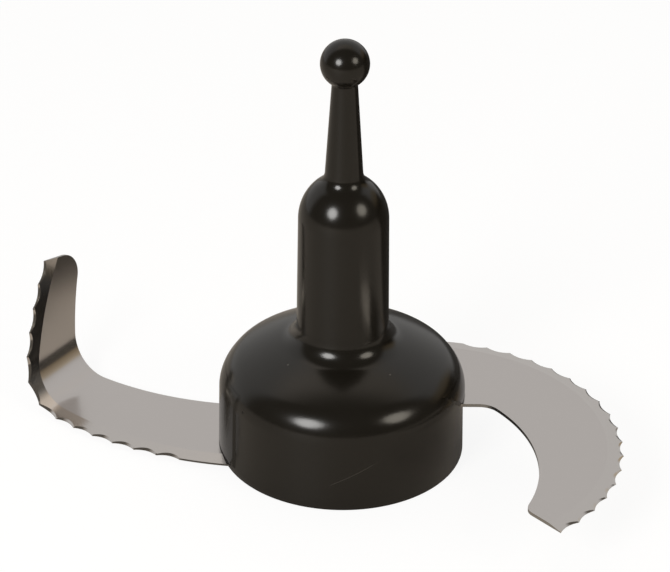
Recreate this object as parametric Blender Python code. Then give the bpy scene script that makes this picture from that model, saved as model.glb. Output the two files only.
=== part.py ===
"""Kneading rotor of a bowl cutter: a moulded hub with a lifting knob and two serrated steel blades.

Lengths are in metres and angles in degrees. The pieces are drawn from the plane of the base rim up,
round the drive axis, and hang from an empty that puts the world's origin at the shaft's seat.
"""

from math import acos, asin, atan2, ceil, cos, degrees, hypot, pi, radians, sin, sqrt

import bmesh
import bpy
from mathutils import Vector

# Fits
CLEARANCE = 0.0003  # between any two pieces

# Hub, outside
SKIRT_RADIUS = 0.0380  # at the base rim
SKIRT_DRAFT = 0.0004  # how much narrower the skirt is at its top
SKIRT_HEIGHT = 0.0238
RIM_CHAMFER = 0.0004
SHOULDER_FILLET = 0.0078
SHOULDER_SLOPE = 37.5  # of the crown where it leaves the shoulder, from the horizontal
CROWN_SLOPE = 16.8  # of the crown where it meets the column's foot
FOOT_FILLET = 0.0070
COLUMN_RADIUS = 0.0142  # at its foot
COLUMN_DRAFT = 0.0004
COLUMN_LENGTH = 0.03612
CAP_HEIGHT = 0.0147  # of the column's domed end
STEM_RADIUS = 0.00575  # at its foot
STEM_FILLET = 0.0016
NECK_RADIUS = 0.0039
STEM_LENGTH = 0.0371  # from the top of the cap to the middle of the knob
KNOB_RADIUS = 0.0074

# Hub, inside
CAVITY_RADIUS = 0.0240  # goes over the bowl's middle tube
CAVITY_FILLET = 0.0030
CROWN_WALL = 0.0055
SHAFT_BORE_RADIUS = 0.0090
BORE_END_CHAMFER = 0.0018
CAP_SOLID = 0.0114  # from the seat of the shaft to the top of the cap
SKIRT_WALL = 0.0035
CAVITY_WALL = 0.0035
RIB_THICKNESS = 0.0030
POCKET_ROOF = 0.0040  # left above a core-out pocket, below a blade or below the shoulder
POCKET_SPAN = 24.0  # widest pocket, in degrees round the skirt

# Raised pads over the blade roots
PAD_HEIGHT = 0.0006  # how far a pad stands out of the skirt
PAD_SINK = 0.0030  # how far a pad reaches into the skirt
PAD_RISE = 0.0052  # from the top of the skirt to where a pad dies out on the shoulder
PAD_MARGIN = 1.5  # past the edge of the blade root, in degrees
UPPER_PAD_LEAN = 20.0  # how far the front end of the upper pad leans forward at its top
UPPER_PAD_TAIL = 10.0  # how far the upper pad runs on behind the blade

# Drive bush
BUSH_RADIUS = 0.0102
BUSH_LENGTH = 0.0300
BUSH_BORE_RADIUS = 0.0080
BUSH_OUTER_FLAT = 0.0092  # from the axis to each flat outside
BUSH_BORE_FLAT = 0.0066  # from the axis to each drive flat in the bore
COLLAR_RADIUS = 0.0128
COLLAR_THICKNESS = 0.0025

# Blades, both
SHEET = 0.0011
GROUND_WIDTH = 0.0050  # of the ground band along the serrated edge
EDGE_THICKNESS = 0.0003
TOOTH_PITCH = 0.0079
TOOTH_DEPTH = 0.0011
ROOT_COVER = 0.0020  # of moulding between a blade root and the cavity
ANCHOR_RADIUS = 0.0025  # of the holes that the moulding flows through
ANCHOR_STEP = 20.0

# Lower blade: flat plan before its tip is folded up
LOWER_TOP = 0.0024  # height of its upper face
LOWER_EDGE_RADIUS = 0.1010
LOWER_EDGE_FRONT = 0.0168  # the edge's arc comes this far in front of the drive axis
LOWER_EDGE_SIDE = -0.0220  # and its centre lies at this X
LOWER_BACK_SHIFT = (-0.0039, 0.0232)  # of the back's centre from the edge's
LOWER_BACK_STEP = 0.0114  # how much tighter the back's arc is than the edge's
LOWER_ROOT_ANGLE = -86.0  # of the blank's inner end, about the centre of its edge
LOWER_BACK_ROOT_ANGLE = -82.0  # of the same end, about the centre of its back
LOWER_TEETH_ANGLE = -106.3  # where the teeth start
LOWER_TIP_ANGLE = -163.9
LOWER_TIP_CUT = 44.5  # direction of the straight cut across the tip
LOWER_TIP_FILLET = 0.0065
FOLD_DIRECTION = 56.4
FOLD_DISTANCE = 0.0825  # from the drive axis to where the fold starts
FOLD_RADIUS = 0.0138
FOLD_ANGLE = 80.0

# Upper blade: a flat sickle
UPPER_DROP = 0.0037  # of its upper face below the top of the skirt
UPPER_EDGE_RADIUS = 0.0610
UPPER_EDGE_REAR = 0.0310  # the edge's arc comes this far behind the drive axis
UPPER_EDGE_SIDE = 0.0245
UPPER_BACK_SHIFT = (-0.0171, -0.0134)
UPPER_BACK_STEP = 0.0092
UPPER_ROOT_FLANK = -0.0084  # the straight front flank of the root lies at this Y
UPPER_ROOT_START = 0.0200  # the flank starts at this X
UPPER_FLANK_FILLET = 0.0070
UPPER_ROOT_ANGLE = 107.0
UPPER_TEETH_ANGLE = 76.7
UPPER_TIP_ANGLE = -49.7
UPPER_TIP_CUT = 132.2
UPPER_TIP_FILLET = 0.0040

# Fineness
TURN_STEPS = 60
ARC_STEP = 12.0  # of a small fillet, in degrees
ANCHOR_SIDES = 20
TOOTH_STEPS = 5
PLAIN_STEP = 0.006  # along a plain edge
FOLD_STEPS = 10
FACET_ANGLE = 9.0  # a ridge on a blade is sharp from here
PAD_STEPS = 5
PAD_FADE = 1.3  # a pad's last point lies a little inside the shoulder

# Heights and the crown's arc, from the sizes above
SKIRT_TOP_RADIUS = SKIRT_RADIUS - SKIRT_DRAFT
ROOT_RADIUS = CAVITY_RADIUS + ROOT_COVER
ANCHOR_CIRCLE = (ROOT_RADIUS + SKIRT_TOP_RADIUS) / 2
CROWN_SINES = sin(radians(SHOULDER_SLOPE)) - sin(radians(CROWN_SLOPE))
CROWN_RUN = (
    SKIRT_TOP_RADIUS - COLUMN_RADIUS
    - FOOT_FILLET * (1 - sin(radians(CROWN_SLOPE)))
    - SHOULDER_FILLET * (1 - sin(radians(SHOULDER_SLOPE)))
)
CROWN_ARC = CROWN_RUN / CROWN_SINES
CROWN_CENTRE = (
    SKIRT_TOP_RADIUS - SHOULDER_FILLET + (SHOULDER_FILLET - CROWN_ARC) * sin(radians(SHOULDER_SLOPE)),
    SKIRT_HEIGHT + (SHOULDER_FILLET - CROWN_ARC) * cos(radians(SHOULDER_SLOPE)),
)
CROWN_TOP = CROWN_CENTRE[1] + CROWN_ARC * cos(radians(CROWN_SLOPE))
COLUMN_FOOT = CROWN_TOP + FOOT_FILLET * cos(radians(CROWN_SLOPE))
COLUMN_TOP = COLUMN_FOOT + COLUMN_LENGTH
CAP_TOP = COLUMN_TOP + CAP_HEIGHT
KNOB_MIDDLE = CAP_TOP + STEM_LENGTH
SEAT = CAP_TOP - CAP_SOLID
ROOF_ARC = CROWN_ARC - CROWN_WALL
ROOF_TOP = CROWN_CENTRE[1] + ROOF_ARC * cos(radians(CROWN_SLOPE))
RECESS_RADIUS = COLLAR_RADIUS + CLEARANCE

# Blade plans that follow from the sizes above
LOWER_EDGE_CENTRE = (LOWER_EDGE_SIDE, LOWER_EDGE_RADIUS - LOWER_EDGE_FRONT)
LOWER_BACK_RADIUS = LOWER_EDGE_RADIUS - LOWER_BACK_STEP
UPPER_TOP = SKIRT_HEIGHT - UPPER_DROP
UPPER_EDGE_CENTRE = (UPPER_EDGE_SIDE, UPPER_EDGE_REAR - UPPER_EDGE_RADIUS)
UPPER_BACK_RADIUS = UPPER_EDGE_RADIUS - UPPER_BACK_STEP


def fresh_scene():
    """Removes the objects that the scene starts with."""
    for thing in list(bpy.data.objects):
        bpy.data.objects.remove(thing, do_unlink=True)


def finish(name, colour, roughness, metallic):
    """A plain Principled material."""
    material = bpy.data.materials.new(name)
    material.use_nodes = True
    shader = material.node_tree.nodes["Principled BSDF"]
    shader.inputs["Base Color"].default_value = (*colour, 1.0)
    shader.inputs["Roughness"].default_value = roughness
    shader.inputs["Metallic"].default_value = metallic
    return material


def place(name, mesh, parent, material=None):
    """Makes an object of a bmesh and hangs it from the rotor's empty."""
    data = bpy.data.meshes.new(name)
    mesh.to_mesh(data)
    mesh.free()
    thing = bpy.data.objects.new(name, data)
    bpy.context.scene.collection.objects.link(thing)
    thing.parent = parent
    if material:
        data.materials.append(material)
        data.shade_smooth()
        data.set_sharp_from_angle(angle=radians(32))
    return thing


def helper(name, mesh, parent):
    """A cutter or a block to be joined, kept out of the render."""
    thing = place(name, mesh, parent)
    thing.hide_render = True
    thing.display_type = "WIRE"
    return thing


def boolean(thing, other, operation):
    """Joins or cuts one object with another."""
    modifier = thing.modifiers.new(other.name, "BOOLEAN")
    modifier.operation = operation
    modifier.object = other
    modifier.solver = "EXACT"


def arc(centre, radius, start, end, step=ARC_STEP):
    """Points along an arc from one angle to another, both ends included."""
    count = max(1, ceil(abs(end - start) / step))
    angles = [radians(start + (end - start) * i / count) for i in range(count + 1)]
    return [(centre[0] + radius * cos(a), centre[1] + radius * sin(a)) for a in angles]


def bow(first, corner, last, steps=4):
    """A short curve from first to last that is pulled towards the corner between them."""
    points = []
    for i in range(steps + 1):
        t = i / steps
        weights = ((1 - t) ** 2, 2 * t * (1 - t), t * t)
        points.append(tuple(
            sum(w * p[k] for w, p in zip(weights, (first, corner, last))) for k in (0, 1)
        ))
    return points


def turned(profile):
    """Turns a profile of (radius, height) points, which starts and ends on the axis, into a solid."""
    mesh = bmesh.new()
    rim = [mesh.verts.new((r, 0, z)) for r, z in profile]
    edges = [mesh.edges.new(pair) for pair in zip(rim, rim[1:])]
    bmesh.ops.spin(
        mesh, geom=rim + edges, cent=(0, 0, 0), axis=(0, 0, 1),
        angle=2 * pi, steps=TURN_STEPS, use_merge=True,
    )
    bmesh.ops.remove_doubles(mesh, verts=mesh.verts[:], dist=1e-6)
    bmesh.ops.recalc_face_normals(mesh, faces=mesh.faces[:])
    return mesh


def prism(mesh, outline, low, high):
    """Adds an upright prism on a plan outline."""
    verts = [mesh.verts.new((x, y, low)) for x, y in outline]
    face = mesh.faces.new(verts)
    grown = bmesh.ops.extrude_face_region(mesh, geom=[face])
    moved = [v for v in grown["geom"] if isinstance(v, bmesh.types.BMVert)]
    bmesh.ops.translate(mesh, verts=moved, vec=(0, 0, high - low))
    bmesh.ops.recalc_face_normals(mesh, faces=mesh.faces[:])


def circle(radius, centre=(0, 0), steps=TURN_STEPS):
    """The plan outline of a round hole or post."""
    return arc(centre, radius, 0, 360, 360 / steps)[:-1]


def sector(inner, outer, start, end):
    """The plan outline of a piece of a ring."""
    step = 360 / TURN_STEPS
    return arc((0, 0), outer, start, end, step) + arc((0, 0), inner, end, start, step)


def polar(radius, angle):
    """A plan point from its distance and its angle."""
    return radius * cos(radians(angle)), radius * sin(radians(angle))


def crown_point(radius, surface):
    """Height of the crown, or of the roof under it, at a distance from the axis."""
    return CROWN_CENTRE[1] + sqrt(surface ** 2 - (radius - CROWN_CENTRE[0]) ** 2)


def outer_profile():
    """The hub's outside, from the top of the knob down to the base rim."""
    neck = degrees(acos(min(1.0, NECK_RADIUS / KNOB_RADIUS)))
    knob = arc((0, KNOB_MIDDLE), KNOB_RADIUS, 90, -neck)
    cap_radius = COLUMN_RADIUS - COLUMN_DRAFT
    fillet_radius = STEM_RADIUS + STEM_FILLET
    cap_start = degrees(acos(fillet_radius / cap_radius))
    cap = [
        (cap_radius * cos(radians(a)), COLUMN_TOP + CAP_HEIGHT * sin(radians(a)))
        for a in [cap_start * (1 - i / 8) for i in range(9)]
    ]
    stem_edge = degrees(acos(STEM_RADIUS / cap_radius))
    corner = (STEM_RADIUS, COLUMN_TOP + CAP_HEIGHT * sin(radians(stem_edge)))
    stem_foot = bow((STEM_RADIUS, corner[1] + STEM_FILLET), corner, cap[0])
    foot = arc(
        (COLUMN_RADIUS + FOOT_FILLET, COLUMN_FOOT), FOOT_FILLET, 180, 270 - CROWN_SLOPE
    )
    crown = arc(CROWN_CENTRE, CROWN_ARC, 90 - CROWN_SLOPE, 90 - SHOULDER_SLOPE, 3.0)
    shoulder = arc(
        (SKIRT_TOP_RADIUS - SHOULDER_FILLET, SKIRT_HEIGHT), SHOULDER_FILLET, 90 - SHOULDER_SLOPE, 0, 7.0
    )
    rim = [(SKIRT_RADIUS, RIM_CHAMFER), (SKIRT_RADIUS - RIM_CHAMFER, 0)]
    return knob + stem_foot[:-1] + cap + foot + crown[1:] + shoulder[1:] + rim


def inner_profile():
    """The hub's inside, from the base rim up to the seat of the shaft."""
    wall_top = crown_point(CAVITY_RADIUS - CAVITY_FILLET, ROOF_ARC)
    wall_corner = (CAVITY_RADIUS, wall_top)
    wall = [(CAVITY_RADIUS, 0)]
    wall += bow((CAVITY_RADIUS, wall_top - CAVITY_FILLET), wall_corner, (CAVITY_RADIUS - CAVITY_FILLET, wall_top))
    roof_start = degrees(atan2(wall_top - CROWN_CENTRE[1], CAVITY_RADIUS - CAVITY_FILLET - CROWN_CENTRE[0]))
    roof = arc(CROWN_CENTRE, ROOF_ARC, roof_start, 90 - CROWN_SLOPE, 3.0)[1:]
    recess_top = ROOF_TOP + COLLAR_THICKNESS + CLEARANCE
    bore = [
        (RECESS_RADIUS, ROOF_TOP), (RECESS_RADIUS, recess_top), (SHAFT_BORE_RADIUS, recess_top),
        (SHAFT_BORE_RADIUS, SEAT - BORE_END_CHAMFER), (SHAFT_BORE_RADIUS - BORE_END_CHAMFER, SEAT), (0, SEAT),
    ]
    return wall + roof + bore


def meet(start, angle, centre, radius, side):
    """Distance along a ray to a circle: side -1 gives its near side, +1 its far side."""
    dx, dy = start[0] - centre[0], start[1] - centre[1]
    along = dx * cos(radians(angle)) + dy * sin(radians(angle))
    return -along + side * sqrt(along ** 2 - dx ** 2 - dy ** 2 + radius ** 2)


def step_from(point, distance, angle):
    """The plan point at a distance and a direction from another."""
    return point[0] + distance * cos(radians(angle)), point[1] + distance * sin(radians(angle))


def bearing(point, other=(0, 0)):
    """Direction in degrees from another point, or from the drive axis."""
    return degrees(atan2(point[1] - other[1], point[0] - other[0]))


def spread(path, count):
    """Points at equal distances along a path, both ends included."""
    lengths = [hypot(b[0] - a[0], b[1] - a[1]) for a, b in zip(path, path[1:])]
    total = sum(lengths)
    points = [path[0]]
    piece, passed = 0, 0.0
    for i in range(1, count - 1):
        wanted = total * i / (count - 1)
        while passed + lengths[piece] < wanted:
            passed += lengths[piece]
            piece += 1
        share = (wanted - passed) / lengths[piece]
        points.append(tuple(a + (b - a) * share for a, b in zip(path[piece], path[piece + 1])))
    return points + [path[-1]]


class Blade:
    """A serrated blade's plan. Angles are about the centre of its edge, from the root down to the tip."""

    def __init__(self, name, top, edge, angles, back, cut, fillet):
        self.name, self.top = name, top
        self.edge_centre, self.edge_radius = edge
        self.root, self.teeth, self.tip = angles
        shift, self.back_radius = back
        self.back_centre = (self.edge_centre[0] + shift[0], self.edge_centre[1] + shift[1])
        self.cut, self.fillet = cut, fillet

    def back_start(self, grow, arc_end):
        """The back from the root to where it meets the corner of the tip, as points."""
        return arc(self.back_centre, self.back_radius - grow, LOWER_BACK_ROOT_ANGLE, arc_end, 2.0)

    def edge_point(self, angle, inset=0.0):
        """A point on the edge, or this far inside it."""
        return step_from(self.edge_centre, self.edge_radius - inset, angle)

    def stations(self, root):
        """Angle and tooth depth of each row, from the root to the tip."""
        plain = max(2, ceil(radians(root - self.teeth) * self.edge_radius / PLAIN_STEP))
        found = [(root + (self.teeth - root) * i / plain, 0.0) for i in range(plain)]
        scallops = max(1, round(radians(self.teeth - self.tip) * self.edge_radius / TOOTH_PITCH))
        count = scallops * TOOTH_STEPS
        for i in range(count + 1):
            along = (i % TOOTH_STEPS) / TOOTH_STEPS
            angle = self.teeth + (self.tip - self.teeth) * i / count
            found.append((angle, 4 * TOOTH_DEPTH * along * (1 - along)))
        return found

    def back_path(self, grow):
        """The back from the root to the straight cut at the tip, with its rounded corner."""
        inside = step_from(self.edge_point(self.tip), self.fillet, self.cut - 90)
        reach = meet(inside, self.cut, self.back_centre, self.back_radius + self.fillet, -1)
        middle = step_from(inside, reach, self.cut)
        to_back = bearing(self.back_centre, middle)
        corner = arc(middle, self.fillet, to_back, self.cut + 90)
        return self.back_start(grow, bearing(middle, self.back_centre)) + corner[1:]

    def rows(self, grow=0.0):
        """Edge point, inner end of the ground band, back point and tooth depth of each row."""
        stations = self.stations(self.root + degrees(grow / self.edge_radius))
        found = []
        for (angle, depth), back in zip(stations, spread(self.back_path(grow), len(stations))):
            edge = self.edge_point(angle, depth - grow)
            across = bearing(back, edge)
            ground = meet(edge, across, self.edge_centre, self.edge_radius - GROUND_WIDTH, -1)
            found.append((edge, step_from(edge, ground, across), back, depth))
        return found

    def exits(self, radius=SKIRT_RADIUS):
        """Directions from the drive axis at which the edge and the back pass this distance from it."""
        rows = self.rows()
        edge = bearing(next(row[0] for row in rows if hypot(*row[0]) > radius))
        back = bearing(next(row[2] for row in rows if hypot(*row[2]) > radius))
        return edge, edge + (back - edge + 180) % 360 - 180


class SickleBlade(Blade):
    """A blade whose root has a straight flank, which a fillet joins to the arc of its back."""

    def back_start(self, grow, arc_end):
        radius = self.back_radius - grow
        fillet = UPPER_FLANK_FILLET - grow
        flank = UPPER_ROOT_FLANK - grow
        lift = flank - fillet - self.back_centre[1]
        middle = (self.back_centre[0] + sqrt((radius - fillet) ** 2 - lift ** 2), flank - fillet)
        blend_end = bearing(middle, self.back_centre)
        root = (UPPER_ROOT_START - grow, flank)
        blend = arc(middle, fillet, 90, blend_end)
        return [root] + blend + arc(self.back_centre, radius, blend_end, arc_end, 3.0)[1:]


def skin(mesh, rows):
    """Joins a run of sections, each a closed ring of as many vertices, and closes both ends."""
    for first, second in zip(rows, rows[1:]):
        for i, vert in enumerate(first):
            j = (i + 1) % len(first)
            mesh.faces.new((vert, first[j], second[j], second[i]))
    mesh.faces.new(rows[0])
    mesh.faces.new(rows[-1])
    bmesh.ops.recalc_face_normals(mesh, faces=mesh.faces[:])


def blank(blade):
    """The flat blade, with its serrated edge ground thin from above."""
    mesh = bmesh.new()
    rows = []
    low = blade.top - SHEET
    for edge, band, back, depth in blade.rows():
        ground = (SHEET - EDGE_THICKNESS) * (1 - depth / GROUND_WIDTH)
        ring = [(back, blade.top), (band, blade.top), (edge, blade.top - ground), (edge, low), (back, low)]
        rows.append([mesh.verts.new((*point, z)) for point, z in ring])
    skin(mesh, rows)
    return mesh


def fold(mesh, top):
    """Rolls the tip up: cuts the sheet along the fold's straight lines, then bends it round them."""
    along = Vector((*polar(1, FOLD_DIRECTION), 0))
    out = Vector((*polar(1, FOLD_DIRECTION + 90), 0))
    bend = radians(FOLD_ANGLE)
    for i in range(FOLD_STEPS + 1):
        plane = out * (FOLD_DISTANCE + FOLD_RADIUS * bend * i / FOLD_STEPS)
        geometry = mesh.verts[:] + mesh.edges[:] + mesh.faces[:]
        bmesh.ops.bisect_plane(mesh, geom=geometry, plane_co=plane, plane_no=out, dist=1e-6)
    for vert in mesh.verts:
        past = vert.co.dot(out) - FOLD_DISTANCE
        if past <= 0:
            continue
        turn = min(past / FOLD_RADIUS, bend)
        leg = past - FOLD_RADIUS * turn
        radius = FOLD_RADIUS + top - vert.co.z
        reach = FOLD_DISTANCE + radius * sin(turn) + leg * cos(turn)
        height = top + FOLD_RADIUS - radius * cos(turn) + leg * sin(turn)
        vert.co = along * vert.co.dot(along) + out * reach + Vector((0, 0, height))


def root_cutter(name, blade, grow, parent):
    """What is taken from a blade root: its round end about the cavity, and the anchor holes."""
    mesh = bmesh.new()
    low, high = blade.top - 3 * SHEET, blade.top + 2 * SHEET
    prism(mesh, circle(ROOT_RADIUS - grow), low, high)
    edge_exit, back_exit = blade.exits()
    middle = (edge_exit + back_exit) / 2
    for step in (-1, 0, 1):
        centre = polar(ANCHOR_CIRCLE, middle + step * ANCHOR_STEP)
        prism(mesh, circle(ANCHOR_RADIUS - grow, centre, ANCHOR_SIDES), low, high)
    return helper(name, mesh, parent)


def slot_cutter(blade, parent):
    """The blade root with the clearance all round, which is cut out of the hub."""
    mesh = bmesh.new()
    low, high = blade.top - SHEET - CLEARANCE, blade.top + CLEARANCE
    rows = []
    for edge, _, back, _ in blade.rows(CLEARANCE):
        rows.append([mesh.verts.new((*p, z)) for p, z in ((back, high), (edge, high), (edge, low), (back, low))])
        if min(hypot(*edge), hypot(*back)) > SKIRT_RADIUS + 2 * PAD_SINK:
            break
    skin(mesh, rows)
    slot = helper(blade.name + "_slot", mesh, parent)
    boolean(slot, root_cutter(blade.name + "_pegs", blade, CLEARANCE, parent), "DIFFERENCE")
    return slot


def pad(name, low, fronts, rear, parent):
    """A raised pad over a blade root: its front end may lean, from one direction below to another above."""
    mesh = bmesh.new()
    inner = SKIRT_TOP_RADIUS - PAD_SINK
    turn = degrees(asin(min(1.0, PAD_RISE / SHOULDER_FILLET)))
    section = [(inner, low), (SKIRT_RADIUS + PAD_HEIGHT, low)]
    for i in range(PAD_STEPS + 1):
        share = i / PAD_STEPS
        radius = SHOULDER_FILLET + PAD_HEIGHT * (1 - share * PAD_FADE)
        section.append(step_from((SKIRT_TOP_RADIUS - SHOULDER_FILLET, SKIRT_HEIGHT), radius, turn * share))
    section.append((inner - PAD_SINK, section[-1][1]))
    top = section[-1][1]
    steps = ceil(abs(rear - fronts[0]) * TURN_STEPS / 360)
    rows = []
    for i in range(steps + 1):
        row = []
        for radius, z in section:
            front = fronts[0] + (fronts[1] - fronts[0]) * (z - low) / (top - low)
            row.append(mesh.verts.new((*polar(radius, front + (rear - front) * i / steps), z)))
        rows.append(row)
    skin(mesh, rows)
    return helper(name, mesh, parent)


def pockets(lower, upper, parent):
    """Core-out pockets in the skirt, open at the base: shallow below the upper blade, none below the lower."""
    mesh = bmesh.new()
    inner = CAVITY_RADIUS + CAVITY_WALL
    outer = SKIRT_TOP_RADIUS - SKIRT_WALL
    rib = degrees(RIB_THICKNESS / inner)
    deep = SKIRT_HEIGHT - POCKET_ROOF
    shallow = UPPER_TOP - SHEET - POCKET_ROOF
    lower_front, lower_rear = lower.exits(inner)
    upper_front = upper.exits(inner)[1]
    upper_rear = bearing(upper.edge_point(upper.root))
    fields = [
        (upper_front, upper_rear, shallow),
        (upper_rear + rib, lower_rear + 360 - rib, deep),
        (lower_front + rib, upper_front - rib, deep),
    ]
    for start, end, roof in fields:
        count = max(1, ceil((end - start) / POCKET_SPAN))
        span = (end - start - rib * (count - 1)) / count
        for i in range(count):
            first = start + i * (span + rib)
            prism(mesh, sector(inner, outer, first, first + span), -SKIRT_WALL, roof)
    return helper("skirt_pockets", mesh, parent)


def double_flat(name, radius, flat, low, high, parent):
    """A round post or hole with two flats, at +X and -X."""
    mesh = bmesh.new()
    turn = degrees(acos(flat / radius))
    step = 360 / TURN_STEPS
    outline = arc((0, 0), radius, turn, 180 - turn, step) + arc((0, 0), radius, 180 + turn, 360 - turn, step)
    prism(mesh, outline, low, high)
    return helper(name, mesh, parent)


def make_hub(lower, upper, parent):
    """The moulding: knob, stem, column, crown and skirt in one, cored out from below."""
    black = finish("black_moulding", (0.012, 0.011, 0.010), 0.12, 0.0)
    hub = place("hub", turned(outer_profile() + inner_profile()), parent, black)
    seat = double_flat(
        "bush_seat", BUSH_RADIUS + CLEARANCE, BUSH_OUTER_FLAT + CLEARANCE,
        ROOF_TOP - COLLAR_THICKNESS, ROOF_TOP + BUSH_LENGTH + CLEARANCE, parent,
    )
    boolean(hub, seat, "DIFFERENCE")
    lower_front, lower_rear = lower.exits()
    upper_rear, upper_front = upper.exits()
    lower_start = lower_front + PAD_MARGIN
    lower_end = lower_rear - PAD_MARGIN
    upper_start = upper_front - PAD_MARGIN
    upper_end = upper_rear + UPPER_PAD_TAIL
    boolean(hub, pad("lower_pad", LOWER_TOP, (lower_start, lower_start), lower_end, parent), "UNION")
    upper_fronts = (upper_start, upper_start - UPPER_PAD_LEAN)
    boolean(hub, pad("upper_pad", UPPER_TOP, upper_fronts, upper_end, parent), "UNION")
    boolean(hub, slot_cutter(lower, parent), "DIFFERENCE")
    boolean(hub, slot_cutter(upper, parent), "DIFFERENCE")
    boolean(hub, pockets(lower, upper, parent), "DIFFERENCE")
    return hub


def make_bush(parent):
    """The steel bush in the foot of the column, with two drive flats in its bore."""
    top = ROOF_TOP + BUSH_LENGTH
    collar_top = ROOF_TOP + COLLAR_THICKNESS
    chamfer = COLLAR_THICKNESS / 5
    collar = [
        (0, collar_top), (COLLAR_RADIUS, collar_top), (COLLAR_RADIUS, ROOF_TOP + chamfer),
        (COLLAR_RADIUS - chamfer, ROOF_TOP), (0, ROOF_TOP),
    ]
    steel = finish("bush_steel", (0.50, 0.49, 0.47), 0.35, 1.0)
    bush = place("drive_bush", turned(collar), parent, steel)
    body = double_flat("bush_body", BUSH_RADIUS, BUSH_OUTER_FLAT, ROOF_TOP + chamfer, top, parent)
    boolean(bush, body, "UNION")
    bore = double_flat(
        "bush_bore", BUSH_BORE_RADIUS, BUSH_BORE_FLAT, ROOF_TOP - COLLAR_THICKNESS, top + COLLAR_THICKNESS, parent
    )
    boolean(bush, bore, "DIFFERENCE")
    return bush


def make_blade(blade, folded, parent):
    """A serrated blade, cut to fit round the cavity and pierced for the moulding."""
    mesh = blank(blade)
    if folded:
        fold(mesh, blade.top)
    steel = finish(blade.name + "_steel", (0.62, 0.61, 0.59), 0.18, 1.0)
    thing = place(blade.name, mesh, parent, steel)
    thing.data.set_sharp_from_angle(angle=radians(FACET_ANGLE))
    boolean(thing, root_cutter(blade.name + "_root", blade, 0.0, parent), "DIFFERENCE")
    return thing


def main():
    """Builds the rotor."""
    fresh_scene()
    rotor = bpy.data.objects.new("rotor", None)
    bpy.context.scene.collection.objects.link(rotor)
    rotor.location = (0, 0, -SEAT)
    lower = Blade(
        "lower_blade", LOWER_TOP, (LOWER_EDGE_CENTRE, LOWER_EDGE_RADIUS),
        (LOWER_ROOT_ANGLE, LOWER_TEETH_ANGLE, LOWER_TIP_ANGLE),
        (LOWER_BACK_SHIFT, LOWER_BACK_RADIUS), LOWER_TIP_CUT, LOWER_TIP_FILLET,
    )
    upper = SickleBlade(
        "upper_blade", UPPER_TOP, (UPPER_EDGE_CENTRE, UPPER_EDGE_RADIUS),
        (UPPER_ROOT_ANGLE, UPPER_TEETH_ANGLE, UPPER_TIP_ANGLE),
        (UPPER_BACK_SHIFT, UPPER_BACK_RADIUS), UPPER_TIP_CUT, UPPER_TIP_FILLET,
    )
    make_hub(lower, upper, rotor)
    make_bush(rotor)
    make_blade(lower, True, rotor)
    make_blade(upper, False, rotor)


main()
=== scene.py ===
"""Looks of a kneading rotor: a black moulded hub with a lifting knob and two serrated steel blades.

Lengths are in metres and angles in degrees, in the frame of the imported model: +Z runs up the drive axis
and the origin is the seat of the drive shaft. Heights in the classes are counted up from the base rim.
"""

import logging
from dataclasses import dataclass
from enum import IntEnum
from functools import cache
from math import acos, asin, atan2, ceil, cos, degrees, hypot, pi, radians, sin, sqrt, tan

import bmesh
import bpy
from mathutils import Matrix, Vector


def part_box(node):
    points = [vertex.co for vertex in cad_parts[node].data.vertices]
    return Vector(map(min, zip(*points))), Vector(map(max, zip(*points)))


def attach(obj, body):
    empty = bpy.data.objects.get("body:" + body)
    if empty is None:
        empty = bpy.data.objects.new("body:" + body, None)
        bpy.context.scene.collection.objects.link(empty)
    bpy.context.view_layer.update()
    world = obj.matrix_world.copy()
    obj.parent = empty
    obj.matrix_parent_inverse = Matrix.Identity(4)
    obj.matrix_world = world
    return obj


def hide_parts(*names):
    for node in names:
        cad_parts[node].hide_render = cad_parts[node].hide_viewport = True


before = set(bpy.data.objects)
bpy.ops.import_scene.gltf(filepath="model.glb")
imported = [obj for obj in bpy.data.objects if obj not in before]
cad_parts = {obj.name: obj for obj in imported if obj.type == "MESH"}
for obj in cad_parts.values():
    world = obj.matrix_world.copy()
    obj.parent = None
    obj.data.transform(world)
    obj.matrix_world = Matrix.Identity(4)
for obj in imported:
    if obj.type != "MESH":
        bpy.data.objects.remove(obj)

LOG = logging.getLogger("rotor")
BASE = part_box("hub")[0].z  # height of the base rim in the frame
BODY = "root"
TINY = 1e-6  # points closer than this are one point
NOISE_SPAN = (0.3, 0.7)  # most of a noise lies between these values

Point = tuple[float, float]
Place = tuple[float, float, float]
Colour = tuple[float, float, float]
BMesh, BMVert, BMEdge = bmesh.types.BMesh, bmesh.types.BMVert, bmesh.types.BMEdge
Tree, Node, Socket = bpy.types.NodeTree, bpy.types.Node, bpy.types.NodeSocket
Material, Piece = bpy.types.Material, bpy.types.Object


class Surface(IntEnum):
    """Material slots of a blade."""

    FLAT = 0
    GROUND = 1
    CUT = 2


def polar(radius: float, angle: float) -> Point:
    """A plan point from its distance to the axis and its direction."""
    return radius * cos(radians(angle)), radius * sin(radians(angle))


def bearing(point: Point, other: Point = (0, 0)) -> float:
    """Direction to a point from another, or from the drive axis."""
    return degrees(atan2(point[1] - other[1], point[0] - other[0]))


def step_from(point: Point, distance: float, angle: float) -> Point:
    """The point at a distance and a direction from another."""
    return point[0] + distance * cos(radians(angle)), point[1] + distance * sin(radians(angle))


def arc(centre: Point, radius: float, start: float, end: float, step: float) -> list[Point]:
    """Points along an arc, both ends included.

    Args:
        centre: Middle of the arc.
        radius: Its radius.
        start: Direction of the first point from the centre.
        end: Direction of the last.
        step: Widest angle between two points.

    Returns:
        The points in order.
    """
    count = max(1, ceil(abs(end - start) / step))
    return [step_from(centre, radius, start + (end - start) * i / count) for i in range(count + 1)]


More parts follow.
